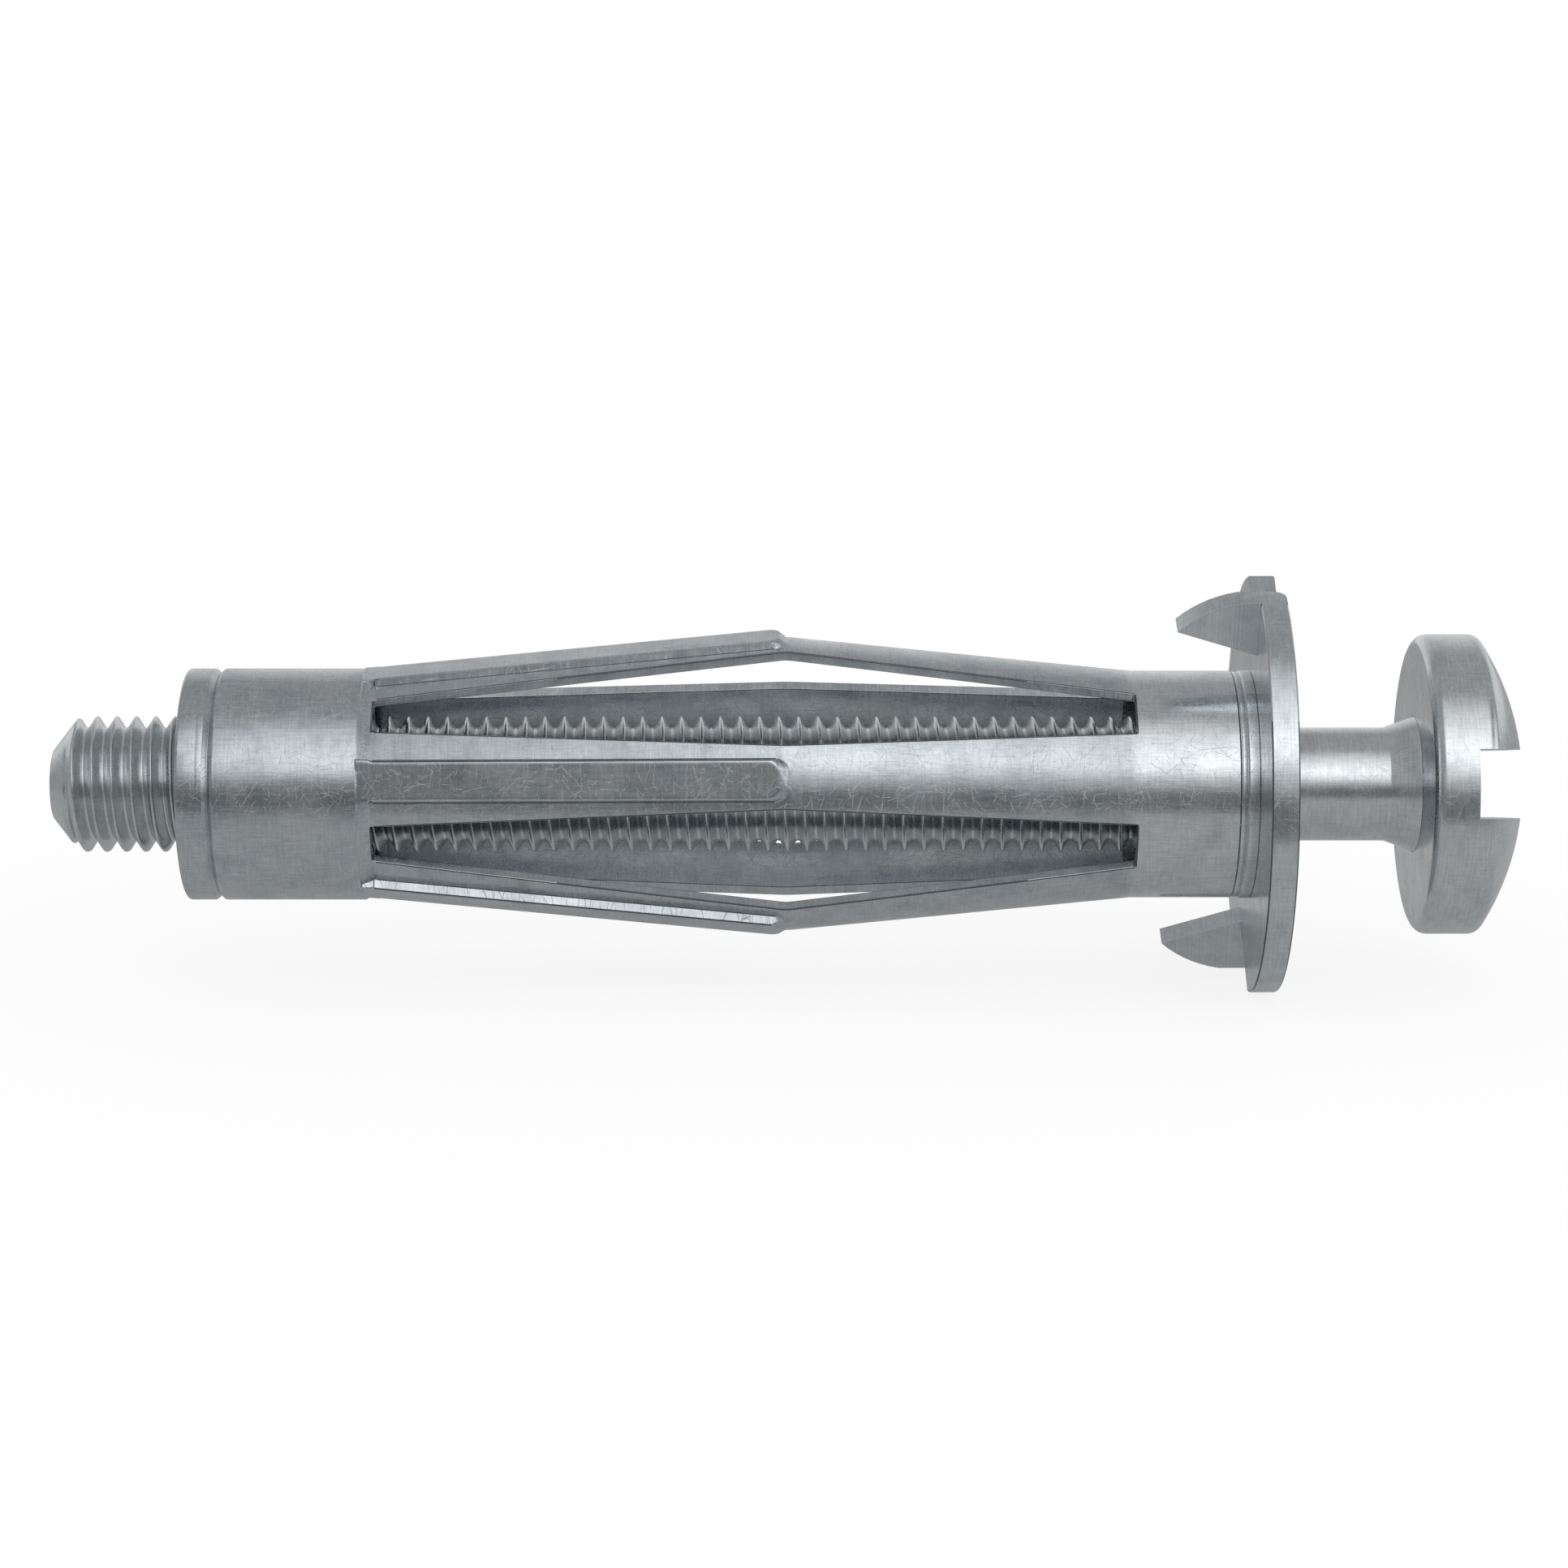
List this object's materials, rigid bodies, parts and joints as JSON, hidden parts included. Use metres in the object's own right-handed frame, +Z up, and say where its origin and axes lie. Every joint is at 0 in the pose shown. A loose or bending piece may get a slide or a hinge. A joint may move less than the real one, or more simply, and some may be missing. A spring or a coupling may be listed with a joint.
{
  "type": "metal hollow wall anchor",
  "caption": "Sheet steel anchor for hollow walls: a slotted sleeve with folding ribbed legs, a flange with two claws, a crimped nut and a pan head machine screw.",
  "frame": {"origin": "on the anchor's axis, in the plane of the flange's wall side", "axes": "+X along the axis out of the wall, towards the screw's head; +Z up, with the whole anchor lying on the two corners of one notch in its flange"},
  "size_m": [0.0646, 0.0184, 0.018],
  "materials": {
    "zinc_sheet": "zinc plated sheet steel, semi-bright, with fine scratches and dark handling marks",
    "zinc_plate": "zinc plated pressed steel, semi-bright, finely brushed rim",
    "zinc_nut": "zinc plated turned steel",
    "zinc_screw": "zinc plated steel with rolled thread, semi-bright, scuffed"
  },
  "bodies": {
    "anchor": {"sleeve": "zinc_sheet", "claw_flange": "zinc_plate", "nut": "zinc_nut"},
    "screw": {"screw": "zinc_screw"}
  },
  "joints": [
    {"name": "screw_travel", "type": "slide", "parent": "anchor", "child": "screw", "axis": [1, 0, 0], "range_m": [-0.00602, 0.01376]}
  ]
}
